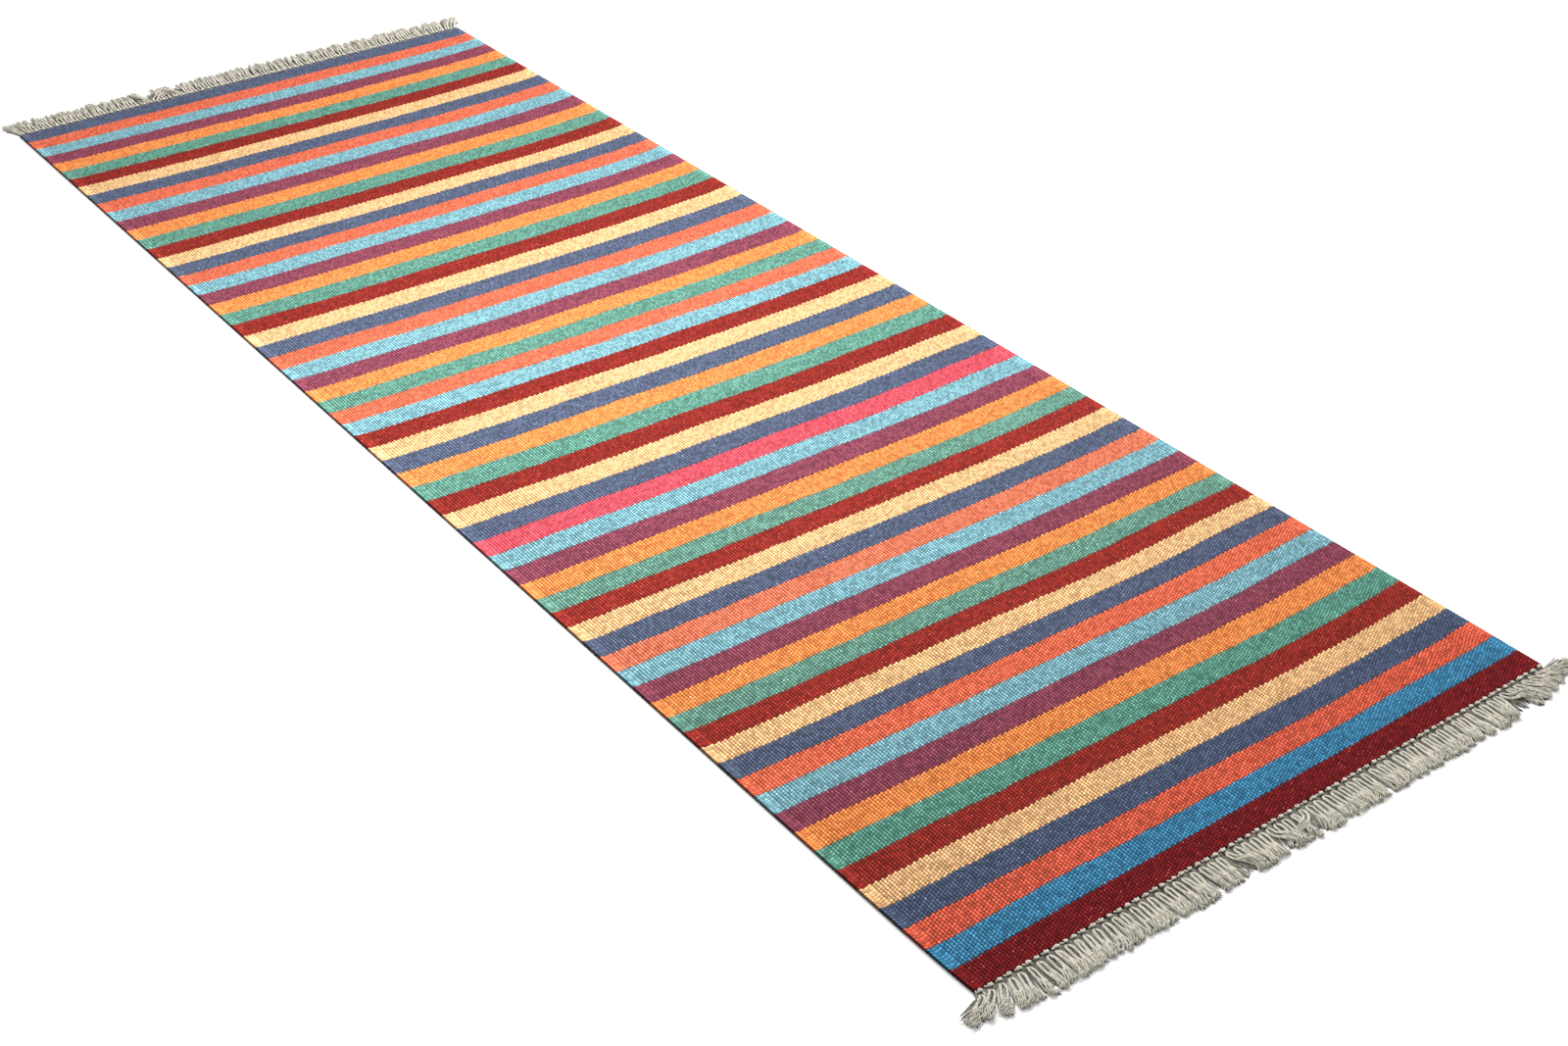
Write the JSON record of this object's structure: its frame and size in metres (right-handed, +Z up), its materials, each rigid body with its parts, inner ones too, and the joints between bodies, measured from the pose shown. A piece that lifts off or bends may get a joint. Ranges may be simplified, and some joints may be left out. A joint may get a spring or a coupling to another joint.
{
  "type": "runner rug",
  "caption": "Long narrow flatwoven runner rug with crosswise coloured stripes, wrapped selvedge cords at both long edges and a knotted cotton fringe at both short ends; it lies flat on a floor.",
  "frame": {"origin": "on the floor, under the centre of the rug", "axes": "+Y along the rug towards its far end, +X across it to the right as seen from the near end, +Z up"},
  "size_m": [0.879, 2.541, 0.0048],
  "materials": {
    "wool_navy": "matte",
    "wool_coral": "matte",
    "wool_sky": "matte",
    "wool_plum": "matte",
    "wool_orange": "matte",
    "wool_green": "matte",
    "wool_brick": "matte",
    "wool_cream": "matte",
    "wool_pink": "matte",
    "wool_blue": "matte",
    "wool_burgundy": "matte",
    "warp_cotton": "matte",
    "fringe_cotton": "matte"
  },
  "bodies": {
    "root": {"weft_navy": "wool_navy", "weft_coral": "wool_coral", "weft_sky": "wool_sky", "weft_plum": "wool_plum", "weft_orange": "wool_orange", "weft_green": "wool_green", "weft_brick": "wool_brick", "weft_cream": "wool_cream", "weft_pink": "wool_pink", "weft_blue": "wool_blue", "weft_burgundy": "wool_burgundy", "warp_yarns": "warp_cotton", "selvedge_cords_left": "warp_cotton", "selvedge_cords_right": "warp_cotton", "knots_near": "fringe_cotton", "knots_far": "fringe_cotton", "fringe_near": "fringe_cotton", "fringe_far": "fringe_cotton"}
  },
  "joints": []
}
